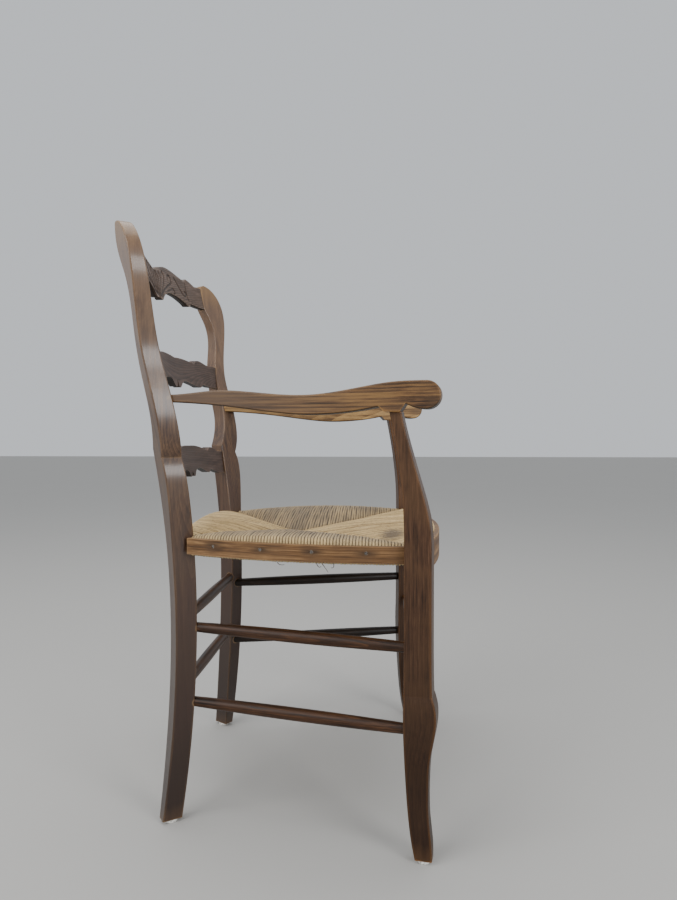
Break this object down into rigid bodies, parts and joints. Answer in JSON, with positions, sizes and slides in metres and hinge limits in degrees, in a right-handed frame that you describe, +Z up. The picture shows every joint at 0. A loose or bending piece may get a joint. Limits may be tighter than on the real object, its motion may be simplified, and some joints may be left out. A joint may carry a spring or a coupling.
{
  "type": "rush seat armchair",
  "caption": "Ladder-back wooden armchair with sawn posts, wavy arms, turned stretchers and a woven rush seat edged with nailed wooden strips.",
  "frame": {"origin": "on the floor, under the middle of the chair", "axes": "+Z up, the sitter faces -Y, the sitter's right arm is at -X"},
  "size_m": [0.5864, 0.5394, 0.947],
  "materials": {
    "post_wood": "old satin walnut-brown wax polish, worn pale on the arrises",
    "leg_wood": "dark brown polish, worn orange-brown on the arrises",
    "arm_wood": "golden tan where hands have rubbed it, with dark streaks along the grain",
    "slat_wood": "greyish brown dull polish with curved grain lines",
    "strip_wood": "orange-brown thin wood with fine streaks",
    "stretcher_wood": "dark brown turned wood",
    "rail_wood": "plain sawn wood, covered by the rush",
    "rush": "twisted dry rush cords, straw to grey-brown, dull",
    "nail_steel": "dull grey small nails",
    "glide_plastic": "white nailed plastic glides"
  },
  "bodies": {
    "root": {"rear_post_right": "post_wood", "rear_post_left": "post_wood", "front_leg_right": "leg_wood", "front_leg_left": "leg_wood", "arm_right": "arm_wood", "arm_left": "arm_wood", "arm_pegs": "post_wood", "crest_slat": "slat_wood", "middle_slat": "slat_wood", "lower_slat": "slat_wood", "seat_rail_front": "rail_wood", "seat_rail_rear": "rail_wood", "seat_rail_right": "rail_wood", "seat_rail_left": "rail_wood", "rush_seat": "rush", "edge_strip_right": "strip_wood", "edge_strip_left": "strip_wood", "edge_strip_front": "strip_wood", "strip_nails_right": "nail_steel", "strip_nails_left": "nail_steel", "strip_nails_front": "nail_steel", "side_stretcher_upper_right": "stretcher_wood", "side_stretcher_upper_left": "stretcher_wood", "side_stretcher_lower_right": "stretcher_wood", "side_stretcher_lower_left": "stretcher_wood", "rear_stretcher_upper": "stretcher_wood", "rear_stretcher_lower": "stretcher_wood", "front_stretcher": "stretcher_wood", "glide_rear_right": "glide_plastic", "glide_rear_left": "glide_plastic", "glide_front_right": "glide_plastic", "glide_front_left": "glide_plastic", "glide_nails": "nail_steel"}
  },
  "joints": []
}
